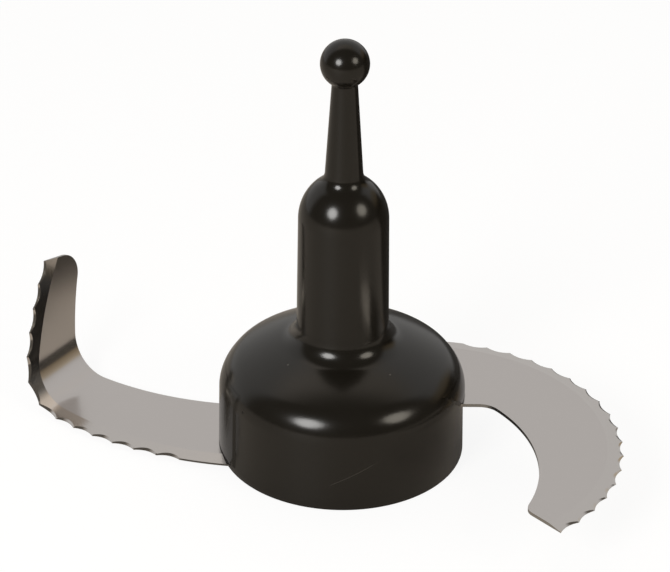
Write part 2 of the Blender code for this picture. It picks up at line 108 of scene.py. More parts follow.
def bow(first: Point, corner: Point, last: Point, steps: int = 8) -> list[Point]:
    """A short curve that is pulled towards a corner.

    Args:
        first: Where it starts.
        corner: The corner that it rounds off.
        last: Where it ends.
        steps: Number of stretches.

    Returns:
        The points in order, both ends included.
    """
    points = []
    for i in range(steps + 1):
        t = i / steps
        weights = ((1 - t) ** 2, 2 * t * (1 - t), t * t)
        points.append(tuple(sum(w * p[k] for w, p in zip(weights, (first, corner, last))) for k in (0, 1)))
    return points


def meet(start: Point, angle: float, centre: Point, radius: float) -> float:
    """Distance along a ray to the near side of a circle.

    Args:
        start: Where the ray starts.
        angle: Its direction.
        centre: Middle of the circle.
        radius: Its radius.

    Returns:
        The distance, which is negative for a circle that the ray starts in.
    """
    dx, dy = start[0] - centre[0], start[1] - centre[1]
    along = dx * cos(radians(angle)) + dy * sin(radians(angle))
    return -along - sqrt(along ** 2 - dx ** 2 - dy ** 2 + radius ** 2)


def spread(path: list[Point], count: int) -> list[Point]:
    """Points at equal distances along a path.

    Args:
        path: The path's own points.
        count: How many points to give, both ends included.

    Returns:
        The spread points.
    """
    lengths = [hypot(b[0] - a[0], b[1] - a[1]) for a, b in zip(path, path[1:])]
    total = sum(lengths)
    points = [path[0]]
    piece, passed = 0, 0.0
    for i in range(1, count - 1):
        wanted = total * i / (count - 1)
        while passed + lengths[piece] < wanted:
            passed += lengths[piece]
            piece += 1
        share = (wanted - passed) / lengths[piece]
        points.append(tuple(a + (b - a) * share for a, b in zip(path[piece], path[piece + 1])))
    return points + [path[-1]]


def finished(name: str, mesh: BMesh, sharp: float = 32.0) -> Piece:
    """Turns a bmesh into a smooth-shaded object at the origin.

    Args:
        name: Name of the piece.
        mesh: Its bmesh, with heights counted from the base rim. It is freed.
        sharp: Edges that turn more than this stay crisp.

    Returns:
        The new object.
    """
    bmesh.ops.translate(mesh, verts=mesh.verts[:], vec=(0, 0, BASE))
    creases = [edge.index for edge in mesh.edges if not edge.smooth]
    data = bpy.data.meshes.new(name)
    mesh.to_mesh(data)
    mesh.free()
    data.shade_smooth()
    data.set_sharp_from_angle(angle=radians(sharp))
    for index in creases:
        data.edges[index].use_edge_sharp = True
    piece = bpy.data.objects.new(name, data)
    bpy.context.scene.collection.objects.link(piece)
    LOG.info("%s: %d faces", name, len(data.polygons))
    return piece


def dressed(piece: Piece, node: str, materials: list[Material]) -> None:
    """Gives a piece its materials and lets it stand for its CAD node.

    Args:
        piece: The finished piece.
        node: CAD node that it replaces.
        materials: One for each of the mesh's material indices.
    """
    for material in materials:
        piece.data.materials.append(material)
    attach(piece, BODY)
    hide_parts(node)


# Node wiring


def add(tree: Tree, kind: str, inputs: dict | None = None, **settings: object) -> Node:
    """Adds a node and sets or joins its inputs.

    Args:
        tree: Node tree that gets the node.
        kind: Blender's name of the node type, less the ShaderNode that it starts with.
        inputs: Values or output sockets by input name or number.
        **settings: The node's own options.

    Returns:
        The new node.
    """
    node = tree.nodes.new("ShaderNode" + kind)
    for key, value in settings.items():
        setattr(node, key, value)
    for key, value in (inputs or {}).items():
        if isinstance(value, Socket):
            tree.links.new(value, node.inputs[key])
        else:
            node.inputs[key].default_value = value
    return node


def calc(tree: Tree, operation: str, *values: float | Socket) -> Socket:
    """One step of arithmetic.

    Args:
        tree: Node tree that gets the node.
        operation: Name of the Math node's operation.
        *values: Numbers or sockets.

    Returns:
        The result's socket.
    """
    return add(tree, "Math", dict(enumerate(values)), operation=operation).outputs[0]


def remap(tree: Tree, value: Socket, span: Point, low: float = 0.0, high: float = 1.0) -> Socket:
    """Brings a value from one range to another and keeps it there.

    Args:
        tree: Node tree that gets the node.
        value: Socket to be brought over.
        span: Start and end of its range.
        low: What the start becomes.
        high: What the end becomes.

    Returns:
        The result's socket.
    """
    inputs = {"Value": value, "From Min": span[0], "From Max": span[1], "To Min": low, "To Max": high}
    return add(tree, "MapRange", inputs, clamp=True).outputs["Result"]


def blend(tree: Tree, share: float | Socket, first: Colour | Socket, second: Colour | Socket) -> Socket:
    """Mixes two colours.

    Args:
        tree: Node tree that gets the node.
        share: Share of the second.
        first: First colour.
        second: Second colour.

    Returns:
        The mixed colour's socket.
    """
    ends = {key: value if isinstance(value, Socket) else (*value, 1.0) for key, value in ((6, first), (7, second))}
    return add(tree, "Mix", {0: share, **ends}, data_type="RGBA").outputs[2]


def roughen(tree: Tree, shader: Node, height: Socket, depth: float) -> None:
    """Gives a shader a bump.

    Args:
        tree: The material's tree.
        shader: Its Principled shader.
        height: The bump.
        depth: Height in metres of a value of 1.
    """
    bump = add(tree, "Bump", {"Height": height, "Distance": depth, "Strength": 1.0})
    tree.links.new(bump.outputs[0], shader.inputs["Normal"])


def group(name: str, inputs: dict[str, float], output: str) -> tuple[Tree, Node, Node]:
    """Starts a shared node group with a vector, some values and one output value.

    Args:
        name: Name of the group.
        inputs: First value by the name of each input that is a number.
        output: Name of the output.

    Returns:
        The group's tree, its input node and its output node.
    """
    tree = bpy.data.node_groups.new(name, "ShaderNodeTree")
    tree.interface.new_socket("Vector", in_out="INPUT", socket_type="NodeSocketVector")
    for key, value in inputs.items():
        tree.interface.new_socket(key, in_out="INPUT", socket_type="NodeSocketFloat").default_value = value
    tree.interface.new_socket(output, in_out="OUTPUT", socket_type="NodeSocketFloat")
    return tree, tree.nodes.new("NodeGroupInput"), tree.nodes.new("NodeGroupOutput")


@cache
def hairlines() -> Tree:
    """Shared group: fine straight lines along the first axis of its vector, as a value from 0 to 1."""
    tree, source, sink = group("hairlines", {"Length": 0.03, "Width": 0.0002}, "Value")
    vector, length, width = (source.outputs[key] for key in ("Vector", "Length", "Width"))
    axes = zip(add(tree, "SeparateXYZ", {0: vector}).outputs, (length, width, width))
    scaled = {key: calc(tree, "DIVIDE", value, size) for key, (value, size) in enumerate(axes)}
    together = add(tree, "CombineXYZ", scaled).outputs[0]
    fine = {"Vector": together, "Scale": 1.0, "Detail": 3.0, "Roughness": 0.6}
    tree.links.new(add(tree, "TexNoise", fine).outputs["Fac"], sink.inputs["Value"])
    return tree


@cache
def specks() -> Tree:
    """Shared group: scattered round specks, as a mask."""
    tree, source, sink = group("specks", {"Spacing": 0.006, "Size": 0.0002, "Share": 0.3}, "Mask")
    scale = calc(tree, "DIVIDE", 1.0, source.outputs["Spacing"])
    cells = add(tree, "TexVoronoi", {"Vector": source.outputs["Vector"], "Scale": scale})
    reach = calc(tree, "MULTIPLY", cells.outputs["Distance"], source.outputs["Spacing"])
    inside = calc(tree, "LESS_THAN", reach, source.outputs["Size"])
    pick = add(tree, "SeparateColor", {0: cells.outputs["Color"]})
    chosen = calc(tree, "LESS_THAN", pick.outputs[0], source.outputs["Share"])
    tree.links.new(calc(tree, "MULTIPLY", inside, chosen), sink.inputs["Mask"])
    return tree


def use(tree: Tree, shared: Tree, inputs: dict) -> Socket:
    """Places a shared group in a tree.

    Args:
        tree: Node tree that gets it.
        shared: The group.
        inputs: Its values by name.

    Returns:
        The group's first output.
    """
    return add(tree, "Group", inputs, node_tree=shared).outputs[0]


def noise(tree: Tree, vector: Socket, scale: float, detail: float) -> Socket:
    """A plain noise.

    Args:
        tree: Node tree that gets it.
        vector: Where it is read.
        scale: Its features per metre.
        detail: How many finer layers it has.

    Returns:
        The noise's socket.
    """
    return add(tree, "TexNoise", {"Vector": vector, "Scale": scale, "Detail": detail}).outputs["Fac"]


def principled(name: str) -> tuple[Material, Tree, Node]:
    """A new material with its tree and its Principled shader."""
    material = bpy.data.materials.new(name)
    material.use_nodes = True
    return material, material.node_tree, material.node_tree.nodes["Principled BSDF"]


# Finishes

WEAR_LINES = {"Length": 0.02, "Width": 0.00025}
DUST_SPECKS = {"Spacing": 0.0075, "Size": 0.00016, "Share": 0.22}


@dataclass(frozen=True)
class BlackMoulding:
    """Glossy black plastic with light wear."""

    colour: Colour = (0.0100, 0.0086, 0.0064)
    dust: Colour = (0.09, 0.085, 0.075)
    refraction: float = 1.45
    roughness: float = 0.19
    haze: Point = (-0.02, 0.03)  # how far a broad cloud changes the roughness
    cloud_scale: float = 60.0
    line_turn: Place = (0.5, 0.9, 0.4)  # turn of the fine wear lines
    line_share: Point = (0.66, 0.80)  # the lines fade in between these values of their pattern
    wear_roughness: float = 0.12
    peel: float = 0.0000012  # height of the mould's faint orange peel
    peel_scale: float = 420.0
    scratch_from: Point = (-0.0042, 0.0086)  # round the skirt from the front, and up
    scratch_to: Point = (0.0115, 0.0166)
    scratch_side: Point = (0.00005, 0.00018)  # it fades between these distances from its middle line
    scratch_ends: Point = (0.002, 0.003)  # it fades in and out over these lengths
    scratch_dust: float = 0.35
    scratch_depth: float = 2.0  # this many times the peel
    pit: Place = (-0.03013, -0.02192, 0.02483)  # from the base rim
    pit_radius: float = 0.0006
    pit_roughness: float = 0.4
    pit_depth: float = 120.0  # this many times the peel
    grains: tuple[Place, ...] = ((-0.01656, -0.01390, 0.03703), (0.01452, -0.01813, 0.03640))  # from the base rim
    grain_radius: float = 0.0004
    soft: float = 0.4  # share of a mark's radius that is full

    def mark(self, tree: Tree, place: Socket, middle: Place, radius: float) -> Socket:
        """One small round mark.

        Args:
            tree: Node tree that gets its nodes.
            place: Object coordinates.
            middle: Its middle, from the base rim.
            radius: Its radius.

        Returns:
            A mask of the mark.
        """
        centre = (middle[0], middle[1], middle[2] + BASE)
        away = add(tree, "VectorMath", {0: place, 1: centre}, operation="DISTANCE").outputs["Value"]
        return remap(tree, away, (radius * self.soft, radius), 1.0, 0.0)

    def scratch(self, tree: Tree, place: Socket) -> Socket:
        """The one long scratch across the front of the skirt.

        Args:
            tree: Node tree that gets its nodes.
            place: Object coordinates.

        Returns:
            A mask of the scratch.
        """
        x, y, z = add(tree, "SeparateXYZ", {0: place}).outputs
        front = calc(tree, "MULTIPLY", y, -1.0)
        girth = calc(tree, "MULTIPLY", calc(tree, "ARCTAN2", x, front), HubModel.skirt_radius)
        run = Vector(self.scratch_to) - Vector(self.scratch_from)
        along, length = run.normalized(), run.length
        side = calc(tree, "SUBTRACT", girth, self.scratch_from[0])
        rise = calc(tree, "SUBTRACT", z, BASE + self.scratch_from[1])
        passed = calc(tree, "ADD", calc(tree, "MULTIPLY", side, along.x), calc(tree, "MULTIPLY", rise, along.y))
        off = calc(tree, "SUBTRACT", calc(tree, "MULTIPLY", rise, along.x), calc(tree, "MULTIPLY", side, along.y))
        narrow = remap(tree, calc(tree, "ABSOLUTE", off), self.scratch_side, 1.0, 0.0)
        started = remap(tree, passed, (0.0, self.scratch_ends[0]))
        ended = remap(tree, passed, (length - self.scratch_ends[1], length), 1.0, 0.0)
        return calc(tree, "MULTIPLY", narrow, calc(tree, "MULTIPLY", started, ended))

    def material(self) -> Material:
        """Builds the material."""
        material, tree, shader = principled("black_moulding")
        place = add(tree, "TexCoord").outputs["Object"]
        turned = add(tree, "Mapping", {"Vector": place, "Rotation": self.line_turn}).outputs[0]
        worn = remap(tree, use(tree, hairlines(), {"Vector": turned, **WEAR_LINES}), self.line_share)
        dots = use(tree, specks(), {"Vector": place, **DUST_SPECKS})
        for grain in self.grains:
            dots = calc(tree, "MAXIMUM", dots, self.mark(tree, place, grain, self.grain_radius))
        scratch, pit = self.scratch(tree, place), self.mark(tree, place, self.pit, self.pit_radius)
        marks = calc(tree, "MAXIMUM", dots, calc(tree, "MULTIPLY", scratch, self.scratch_dust))
        tree.links.new(blend(tree, marks, self.colour, self.dust), shader.inputs["Base Color"])
        low, high = (self.roughness + change for change in self.haze)
        rough = remap(tree, noise(tree, place, self.cloud_scale, 4.0), NOISE_SPAN, low, high)
        for mask, more in ((calc(tree, "MAXIMUM", worn, scratch), self.wear_roughness), (pit, self.pit_roughness)):
            rough = calc(tree, "ADD", rough, calc(tree, "MULTIPLY", mask, more))
        tree.links.new(rough, shader.inputs["Roughness"])
        height = noise(tree, place, self.peel_scale, 2.0)
        for mask, depth in ((scratch, self.scratch_depth), (pit, self.pit_depth)):
            height = calc(tree, "SUBTRACT", height, calc(tree, "MULTIPLY", mask, depth))
        roughen(tree, shader, height, self.peel)
        shader.inputs["IOR"].default_value = self.refraction
        return material


@dataclass(frozen=True, kw_only=True)
class Steel:
    """Bare steel with a fine grain."""

    name: str
    colour: Colour
    depth: float  # height of the grain
    dulling: float = 0.93  # of the colour in the grain's dark lines

    def wear(self, tree: Tree) -> tuple[Socket, Socket]:
        """The grain, from 0 to 1, and the roughness."""
        raise NotImplementedError

    def material(self) -> Material:
        """Builds the material."""
        material, tree, shader = principled(self.name)
        lines, rough = self.wear(tree)
        dull = tuple(c * self.dulling for c in self.colour)
        tree.links.new(blend(tree, lines, dull, self.colour), shader.inputs["Base Color"])
        tree.links.new(rough, shader.inputs["Roughness"])
        roughen(tree, shader, lines, self.depth)
        shader.inputs["Metallic"].default_value = 1.0
        return material


@dataclass(frozen=True, kw_only=True)
class SheetSteel(Steel):
    """Rolled stainless sheet, read in the flat plan of the blade so that the grain follows the bend."""

    roughness: float
    grain: float  # how much the grain changes the roughness
    width: float  # of one line of the grain
    length: float = 0.05
    turn: float = 0.0  # direction of the grain
    cloud: float = 0.02  # how much a broad cloud changes the roughness
    cloud_scale: float = 45.0

    def wear(self, tree: Tree) -> tuple[Socket, Socket]:
        """Long lines in the flat plan, and a broad cloud."""
        plan = add(tree, "UVMap", uv_map="plan").outputs[0]
        turned = add(tree, "Mapping", {"Vector": plan, "Rotation": (0, 0, radians(self.turn))}).outputs[0]
        lines = use(tree, hairlines(), {"Vector": turned, "Length": self.length, "Width": self.width})
        fine = remap(tree, lines, (0.25, 0.75), -self.grain, self.grain)
        broad = remap(tree, noise(tree, plan, self.cloud_scale, 3.0), NOISE_SPAN, -self.cloud, self.cloud)
        return lines, calc(tree, "ADD", calc(tree, "ADD", fine, broad), self.roughness)


@dataclass(frozen=True, kw_only=True)
class TurnedSteel(Steel):
    """Machined steel with rings round the drive axis."""

    roughness: Point
    width: float  # of one ring

    def wear(self, tree: Tree) -> tuple[Socket, Socket]:
        """Rings round the axis."""
        place = add(tree, "TexCoord").outputs["Object"]
        x, y, z = add(tree, "SeparateXYZ", {0: place}).outputs
        across = add(tree, "CombineXYZ", {0: x, 1: y}).outputs[0]
        reach = add(tree, "VectorMath", {0: across}, operation="LENGTH").outputs["Value"]
        rings = add(tree, "CombineXYZ", {1: reach, 2: z}).outputs[0]
        lines = use(tree, hairlines(), {"Vector": rings, "Length": 1.0, "Width": self.width})
        return lines, remap(tree, lines, NOISE_SPAN, *self.roughness)


BRIGHT_SHEET = SheetSteel(
    name="bright_sheet", colour=(0.625, 0.593, 0.575), roughness=0.17, grain=0.03, depth=0.0000006, width=0.00022
)
GROUND_STEEL = SheetSteel(
    name="ground_steel", colour=(0.635, 0.605, 0.585), roughness=0.13, grain=0.04, depth=0.0000010, width=0.00012,
    turn=90.0,
)
CUT_STEEL = SheetSteel(
    name="cut_steel", colour=(0.42, 0.41, 0.39), roughness=0.36, grain=0.05, depth=0.0000010, width=0.00030
)
BUSH_STEEL = TurnedSteel(
    name="bush_steel", colour=(0.50, 0.49, 0.47), roughness=(0.24, 0.38), depth=0.000004, width=0.00015, dulling=0.8
)


# Blades


@dataclass
class BladeModel:
    """A flat serrated blade. Angles are about the centre of its edge, from the root down to the tip."""

    name: str
    top: float  # height of its upper face
    edge_centre: Point
    edge_radius: float
    back_centre: Point
    back_radius: float
    root: float
    back_root: float
    teeth: float  # where the teeth start
    tip: float
    cut: float  # direction of the straight cut across the tip
    corner: float  # radius between that cut and the back
    sheet: float = 0.0011
    ground_width: float = 0.0050
    ground_edge: float = 0.0003  # thickness that the ground band runs out to
    keen_edge: float = 0.00010  # thickness after honing
    hone_slope: float = 32.0
    tooth_pitch: float = 0.0079
    tooth_depth: float = 0.0011
    tooth_steps: int = 12
    plain_step: float = 0.0016
    flat_columns: int = 6

    def edge_point(self, angle: float, inset: float = 0.0) -> Point:
        """A point on the edge, or this far inside it."""
        return step_from(self.edge_centre, self.edge_radius - inset, angle)

    def stations(self) -> list[tuple[float, float]]:
        """Angle and tooth depth of each row, from the root to the tip."""
        plain = max(2, ceil(radians(self.root - self.teeth) * self.edge_radius / self.plain_step))
        found = [(self.root + (self.teeth - self.root) * i / plain, 0.0) for i in range(plain)]
        count = round(radians(self.teeth - self.tip) * self.edge_radius / self.tooth_pitch) * self.tooth_steps
        for i in range(count + 1):
            along = (i % self.tooth_steps) / self.tooth_steps
            angle = self.teeth + (self.tip - self.teeth) * i / count
            found.append((angle, 4 * self.tooth_depth * along * (1 - along)))
        return found

    def back_start(self, arc_end: float) -> list[Point]:
        """The back from the root to where the corner of the tip begins."""
        return arc(self.back_centre, self.back_radius, self.back_root, arc_end, 0.5)

    def back_path(self) -> list[Point]:
        """The back from the root to the straight cut at the tip, with its rounded corner."""
        inside = step_from(self.edge_point(self.tip), self.corner, self.cut - 90)
        reach = meet(inside, self.cut, self.back_centre, self.back_radius + self.corner)
        middle = step_from(inside, reach, self.cut)
        corner = arc(middle, self.corner, bearing(self.back_centre, middle), self.cut + 90, 5.0)
        return self.back_start(bearing(middle, self.back_centre)) + corner[1:]

    def section(self, angle: float, depth: float, back: Point) -> list[tuple[Point, float]]:
        """One row across the blade.

        Args:
            angle: Where the row meets the edge.
            depth: How deep the scallop is there.
            back: Where the row meets the back.

        Returns:
            Plan point and thickness of each column, from the back to the edge.
        """
        edge = self.edge_point(angle, depth)
        across = bearing(back, edge)
        band = step_from(edge, meet(edge, across, self.edge_centre, self.edge_radius - self.ground_width), across)
        slope = (self.sheet - self.ground_edge) / self.ground_width
        left = self.ground_edge + slope * depth - self.keen_edge
        hone = step_from(edge, left / (tan(radians(self.hone_slope)) - slope), across)
        shares = [j / self.flat_columns for j in range(self.flat_columns + 1)]
        row = [(tuple(b + (g - b) * share for b, g in zip(back, band)), self.sheet) for share in shares]
        for point in (tuple((g + h) / 2 for g, h in zip(band, hone)), hone):
            inset = self.edge_radius - hypot(point[0] - self.edge_centre[0], point[1] - self.edge_centre[1])
            row.append((point, self.ground_edge + slope * inset))
        row.append((edge, self.keen_edge))
        return row

    def shape(self, mesh: BMesh) -> None:
        """Bends the finished flat sheet. A flat blade stays as it is."""

    def build(self) -> Piece:
        """Lays out a grid on the plan, thickens it and grinds its edge."""
        stations = self.stations()
        backs = spread(self.back_path(), len(stations))
        rows = [self.section(angle, depth, back) for (angle, depth), back in zip(stations, backs)]
        columns = len(rows[0])
        mesh = bmesh.new()
        bmesh.ops.create_grid(mesh, x_segments=len(rows) - 1, y_segments=columns - 1, size=0.5)
        thick = mesh.verts.layers.float.new("thick")
        column = mesh.verts.layers.int.new("column")
        upper = mesh.verts.layers.int.new("upper")
        for vert in mesh.verts:
            i, j = round((vert.co.x + 0.5) * (len(rows) - 1)), round((vert.co.y + 0.5) * (columns - 1))
            point, vert[thick] = rows[i][j]
            vert[column] = j
            vert.co = (*point, self.top - self.sheet)
        grown = bmesh.ops.extrude_face_region(mesh, geom=mesh.faces[:])
        for vert in (v for v in grown["geom"] if isinstance(v, BMVert)):
            vert.co.z += vert[thick]
            vert[upper] = 1
        bmesh.ops.recalc_face_normals(mesh, faces=mesh.faces[:])
        plan = mesh.loops.layers.uv.new("plan")
        band, hone = self.flat_columns, columns - 2
        for face in mesh.faces:
            sides = {v[upper] for v in face.verts}
            if len(sides) == 2:
                face.material_index = Surface.CUT
            elif sides == {1} and min(v[column] for v in face.verts) >= band:
                face.material_index = Surface.GROUND
            for loop in face.loops:
                loop[plan].uv = loop.vert.co.xy
        for edge in mesh.edges:
            ends = {(v[upper], v[column]) for v in edge.verts}
            if ends in ({(1, band)}, {(1, hone)}):
                edge.smooth = False
        self.shape(mesh)
        return finished(self.name + "_steel", mesh, sharp=40.0)


@dataclass
class CurledBlade(BladeModel):
    """A blade whose tip is rolled up round a slanting fold."""

    fold_direction: float = 56.4
    fold_distance: float = 0.0825  # from the drive axis to where the fold starts
    fold_radius: float = 0.0138
    fold_angle: float = 80.0

    def shape(self, mesh: BMesh) -> None:
        """Rolls the tip up."""
        along = Vector((*polar(1, self.fold_direction), 0))
        out = Vector((*polar(1, self.fold_direction + 90), 0))
        for vert in mesh.verts:
            past = vert.co.dot(out) - self.fold_distance
            if past <= 0:
                continue
            turn = min(past / self.fold_radius, radians(self.fold_angle))
            leg = past - self.fold_radius * turn
            radius = self.fold_radius + self.top - vert.co.z
            reach = self.fold_distance + radius * sin(turn) + leg * cos(turn)
            height = self.top + self.fold_radius - radius * cos(turn) + leg * sin(turn)
            vert.co = along * vert.co.dot(along) + out * reach + Vector((0, 0, height))


@dataclass
class SickleBlade(BladeModel):
    """A blade whose root has a straight flank, which a fillet joins to the arc of its back."""

    flank: float = -0.0084  # the flank lies at this Y
    flank_start: float = 0.0360
    flank_fillet: float = 0.0070

    def back_start(self, arc_end: float) -> list[Point]:
        """The flank, its fillet and the back as far as the corner of the tip."""
        lift = self.flank - self.flank_fillet - self.back_centre[1]
        away = sqrt((self.back_radius - self.flank_fillet) ** 2 - lift ** 2)
        middle = (self.back_centre[0] + away, self.flank - self.flank_fillet)
        blend_end = bearing(middle, self.back_centre)
        fillet = arc(middle, self.flank_fillet, 90, blend_end, 3.0)
        back = arc(self.back_centre, self.back_radius, blend_end, arc_end, 0.5)
        return [(self.flank_start, self.flank)] + fillet + back[1:]


# Hub


@dataclass(frozen=True)
class Pad:
    """Raised field on the skirt round the root of a blade."""

    front: Point  # direction of its front end below and above; it leans when they differ
    rear: float  # direction of its rear end
    sense: int  # 1 where the directions grow from the front to the rear, else -1


LOWER_PAD = Pad((-150.0, -150.0), -209.5, -1)
UPPER_PAD = Pad((-14.3, -31.5), 65.0, 1)


@dataclass
class HubModel:
    """The one-piece moulding: knob, stem, column, crown and skirt, cored out from below."""

    skirt_radius: float = 0.0380
    skirt_draft: float = 0.0004
    skirt_height: float = 0.0224
    rim_round: float = 0.0004
    shoulder: float = 0.0118
    shoulder_slope: float = 29.5
    crown_slope: float = 15.99
    foot_fillet: float = 0.0070
    column_radius: float = 0.0142
    column_draft: float = 0.0004
    column_length: float = 0.03612
    cap_height: float = 0.0147
    cap_steps: int = 20
    stem_radius: float = 0.00575
    stem_fillet: float = 0.0028
    neck_radius: float = 0.0039
    neck_fillet: float = 0.0006
    neck_turn: float = 3.0  # the knob's arc stops this far from the neck
    neck_taper: float = 0.00003
    stem_length: float = 0.0371
    knob_radius: float = 0.0074
    cavity_radius: float = 0.0240
    cavity_fillet: float = 0.0030
    crown_wall: float = 0.0055
    bore_radius: float = 0.0090
    bore_chamfer: float = 0.0018
    cap_solid: float = 0.0114  # from the shaft's seat up to the top of the cap
    wall: float = 0.0035
    rib: float = 0.0030
    pocket_roof: float = 0.0040
    pocket_span: float = 24.0  # widest angle of a pocket
    shallow_end: float = 77.0  # direction in which the shallow pockets end
    pad_height: float = 0.0006
    pad_side: float = 0.0007  # how broad the soft side of a pad is
    pad_fade: float = 32.0  # a pad dies out this far round the shoulder
    turn_steps: int = 180

    def __post_init__(self) -> None:
        """Works out the crown's arc and the heights that follow from it."""
        self.top_radius = self.skirt_radius - self.skirt_draft
        steep, gentle = radians(self.shoulder_slope), radians(self.crown_slope)
        rounds = self.foot_fillet * (1 - sin(gentle)) + self.shoulder * (1 - sin(steep))
        self.crown_arc = (self.top_radius - self.column_radius - rounds) / (sin(steep) - sin(gentle))
        drop = self.shoulder - self.crown_arc
        self.crown_centre = (self.top_radius - self.shoulder + drop * sin(steep), self.skirt_height + drop * cos(steep))
        crown_top = self.crown_centre[1] + self.crown_arc * cos(gentle)
        self.column_foot = crown_top + self.foot_fillet * cos(gentle)
        self.column_top = self.column_foot + self.column_length
        self.knob_middle = self.column_top + self.cap_height + self.stem_length
        self.seat = self.column_top + self.cap_height - self.cap_solid
        self.roof_arc = self.crown_arc - self.crown_wall
        self.roof_top = self.crown_centre[1] + self.roof_arc * cos(gentle)
        self.pocket_inner = self.cavity_radius + self.wall
        self.pocket_outer = self.top_radius - self.wall

    def outer_profile(self) -> list[Point]:
        """The outside, from the top of the knob down to the base rim."""
        neck = degrees(acos(self.neck_radius / self.knob_radius))
        knob = arc((0, self.knob_middle), self.knob_radius, 90, self.neck_turn - neck, 4.0)
        corner = step_from((0, self.knob_middle), self.knob_radius, -neck)
        stem_top = bow(knob[-1], corner, (self.neck_radius + self.neck_taper, corner[1] - self.neck_fillet), 4)
        cap_radius = self.column_radius - self.column_draft
        cap_start = acos((self.stem_radius + self.stem_fillet) / cap_radius)
        turns = [cap_start * (1 - i / self.cap_steps) for i in range(self.cap_steps + 1)]
        cap = [(cap_radius * cos(turn), self.column_top + self.cap_height * sin(turn)) for turn in turns]
        stem_corner = (self.stem_radius, self.column_top + self.cap_height * sin(acos(self.stem_radius / cap_radius)))
        stem_foot = bow((self.stem_radius, stem_corner[1] + self.stem_fillet), stem_corner, cap[0])
        foot_centre = (self.column_radius + self.foot_fillet, self.column_foot)
        foot = arc(foot_centre, self.foot_fillet, 180, 270 - self.crown_slope, 6.0)
        crown = arc(self.crown_centre, self.crown_arc, 90 - self.crown_slope, 90 - self.shoulder_slope, 1.5)
        shoulder_centre = (self.top_radius - self.shoulder, self.skirt_height)
        shoulder = arc(shoulder_centre, self.shoulder, 90 - self.shoulder_slope, 0, 3.5)
        rim = arc((self.skirt_radius - self.rim_round, self.rim_round), self.rim_round, 0, -90, 30.0)
        return knob[:-1] + stem_top + stem_foot[:-1] + cap + foot + crown[1:] + shoulder[1:] + rim

    def inner_profile(self, bush: "BushModel") -> list[Point]:
        """The inside, from the base rim up to the seat of the shaft.

        Args:
            bush: The bush that the column holds.

        Returns:
            Radius and height of each point.
        """
        roof_radius = self.cavity_radius - self.cavity_fillet
        rise = sqrt(self.roof_arc ** 2 - (roof_radius - self.crown_centre[0]) ** 2)
        wall_top = self.crown_centre[1] + rise
        rim = [
            (self.pocket_outer, 0), (self.pocket_inner, 0),
            (self.cavity_radius + self.rim_round, 0), (self.cavity_radius, self.rim_round),
        ]
        wall_foot = (self.cavity_radius, wall_top - self.cavity_fillet)
        wall = bow(wall_foot, (self.cavity_radius, wall_top), (roof_radius, wall_top))
        roof_start = degrees(atan2(rise, roof_radius - self.crown_centre[0]))
        roof = arc(self.crown_centre, self.roof_arc, roof_start, 90 - self.crown_slope, 2.0)[1:]
        recess, recess_top = bush.collar_radius + bush.gap, self.roof_top + bush.collar_thickness + bush.gap
        seat_radius, seat_top = bush.radius + bush.gap, self.roof_top + bush.length + bush.gap
        bore = [
            (recess, self.roof_top), (recess, recess_top), (seat_radius, recess_top), (seat_radius, seat_top),
            (self.bore_radius, seat_top), (self.bore_radius, self.seat - self.bore_chamfer),
            (self.bore_radius - self.bore_chamfer, self.seat), (0, self.seat),
        ]
        return rim + wall + roof + bore

    def outside(self, face: bmesh.types.BMFace, towards: Vector) -> bool:
        """Whether a face is on the outside of the skirt or the shoulder, on the side of a direction."""
        spot = face.calc_center_median()
        return spot.xy.length > self.top_radius - self.shoulder and spot.dot(towards) > 0 and face.normal.z > -0.5

    def raise_pad(self, mesh: BMesh, low: float, pad: Pad) -> None:
        """Raises a pad on the skirt and lets it die out on the shoulder.

        Args:
            mesh: The turned hub.
            low: Height of the pad's lower end.
            pad: Where it lies.
        """
        centre = Vector((self.top_radius - self.shoulder, self.skirt_height))
        high = centre.y + self.shoulder * sin(radians(self.pad_fade))
        foot = Vector((*polar(self.skirt_radius, pad.front[0]), low))
        head = Vector((*polar(self.top_radius, pad.front[1]), high))
        middle = Vector((*polar(1, sum(pad.front) / 2), 0))
        planes = [
            (foot, (head - foot).cross(middle).normalized() * pad.sense),
            (Vector(), Vector((*polar(1, pad.rear - 90 * pad.sense), 0))),
            (Vector((0, 0, low)), Vector((0, 0, 1))),
            (Vector((0, 0, high)), Vector((0, 0, -1))),
        ]
        towards = Vector((*polar(1, (pad.front[0] + pad.rear) / 2), 0))
        for point, normal in planes:
            near = [f for f in mesh.faces if self.outside(f, towards)]
            parts = set(near) | {e for f in near for e in f.edges} | {v for f in near for v in f.verts}
            bmesh.ops.bisect_plane(mesh, geom=list(parts), plane_co=point, plane_no=normal, dist=TINY)
        chosen = []
        for face in mesh.faces:
            spot = face.calc_center_median()
            if self.outside(face, towards) and all((spot - p).dot(n) > 0 for p, n in planes):
                chosen.append(face)
        bmesh.ops.inset_region(mesh, faces=chosen, thickness=self.pad_side, use_even_offset=True)
        for vert in {v for f in chosen for v in f.verts}:
            flat = vert.co.xy.length
            rising = max(0.0, degrees(atan2(vert.co.z - centre.y, flat - centre.x)))
            lift = self.pad_height * max(0.0, 1 - rising / self.pad_fade)
            grow = 1 + lift * cos(radians(rising)) / flat
            vert.co = (vert.co.x * grow, vert.co.y * grow, vert.co.z + lift * sin(radians(rising)))

